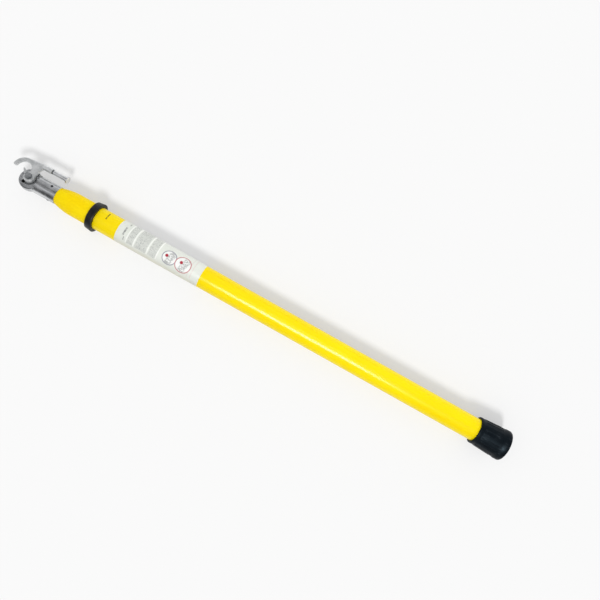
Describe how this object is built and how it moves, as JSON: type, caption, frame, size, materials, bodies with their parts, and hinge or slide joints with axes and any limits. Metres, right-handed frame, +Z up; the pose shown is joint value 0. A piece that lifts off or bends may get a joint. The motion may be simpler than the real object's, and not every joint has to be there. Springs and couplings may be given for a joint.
{
  "type": "telescoping hot stick",
  "caption": "Collapsed yellow telescoping insulated pole with a black rubber butt boot, a splined metal head and an open disconnect hook with a rear prong.",
  "frame": {"origin": "centre of the butt end face, on the axis of the pole", "axes": "+X along the pole from the butt to the metal head; +Z up when the pole lies as stored; the open hook lies on the -Y side"},
  "size_m": [1.489, 0.1005, 0.084],
  "materials": {
    "fibreglass_yellow": "glossy yellow epoxy fibreglass",
    "fibreglass_inner": "glossy yellow epoxy fibreglass, shaded inside the pole",
    "nose_yellow": "glossy moulded nose",
    "black_rubber": "moulded black rubber, faint streaks",
    "black_collar": "satin black nylon ring",
    "printed_wrap": "white laminate with plain grey bars",
    "bush_nylon": "dark nylon",
    "shoe_nylon": "dark nylon",
    "button_plastic": "orange acetal button",
    "spring_steel": "bright spring wire",
    "foam_plug": "closed-cell foam",
    "cast_metal": "polished cast alloy",
    "hook_metal": "tumbled cast alloy",
    "prong_steel": "plated steel",
    "fastener_steel": "plated steel",
    "rivet_steel": "dull steel"
  },
  "bodies": {
    "base": {"butt_cap": "black_rubber", "butt_bumper": "black_rubber", "base_tube": "fibreglass_yellow", "label_wrap": "printed_wrap", "top_collar": "black_collar", "base_bush": "bush_nylon"},
    "section_2": {"section_2_tube": "fibreglass_inner", "section_2_shoe": "shoe_nylon", "section_2_spring": "spring_steel", "section_2_bush": "bush_nylon"},
    "section_3": {"section_3_tube": "fibreglass_inner", "section_3_shoe": "shoe_nylon", "section_3_spring": "spring_steel", "section_3_bush": "bush_nylon"},
    "tip": {"tip_tube": "fibreglass_inner", "tip_shoe": "shoe_nylon", "tip_spring": "spring_steel", "tip_foam_plug": "foam_plug", "nose": "nose_yellow", "universal_head": "cast_metal", "ferrule_rivets": "rivet_steel"},
    "section_2_button": {"section_2_button": "button_plastic"},
    "section_3_button": {"section_3_button": "button_plastic"},
    "tip_button": {"tip_button": "button_plastic"},
    "hook": {"disconnect_hook": "hook_metal", "prong_rod": "prong_steel", "prong_disc": "prong_steel", "clamp_bolt": "fastener_steel", "bolt_washer": "fastener_steel", "lock_washer": "fastener_steel"},
    "wing_nut": {"wing_nut": "hook_metal"}
  },
  "joints": [
    {"name": "section_2_slide", "type": "slide", "parent": "base", "child": "section_2", "axis": [1, 0, 0], "range_m": [0, 1.1447]},
    {"name": "section_3_slide", "type": "slide", "parent": "section_2", "child": "section_3", "axis": [1, 0, 0], "range_m": [0, 1.1184]},
    {"name": "tip_slide", "type": "slide", "parent": "section_3", "child": "tip", "axis": [1, 0, 0], "range_m": [0, 1.0901]},
    {"name": "section_2_button_press", "type": "slide", "parent": "section_2", "child": "section_2_button", "axis": [0, 0, -1], "range_m": [-0.0025, 0], "stiffness_N_per_m": 400, "springref_m": 0.005, "deforming": ["section_2_spring"]},
    {"name": "section_3_button_press", "type": "slide", "parent": "section_3", "child": "section_3_button", "axis": [0, 0, -1], "range_m": [-0.0025, 0], "stiffness_N_per_m": 400, "springref_m": 0.005, "deforming": ["section_3_spring"]},
    {"name": "tip_button_press", "type": "slide", "parent": "tip", "child": "tip_button", "axis": [0, 0, -1], "range_m": [-0.0025, 0], "stiffness_N_per_m": 400, "springref_m": 0.005, "deforming": ["tip_spring"]},
    {"name": "hook_index", "type": "hinge", "parent": "tip", "child": "hook", "pos_m": [1.4335, 0, 0], "axis": [0, -0.342, 0.9397], "range_deg": [0, 150]},
    {"name": "wing_nut_spin", "type": "hinge", "parent": "hook", "child": "wing_nut", "pos_m": [1.4335, 0, 0], "axis": [0, -0.342, 0.9397], "continuous": true}
  ]
}
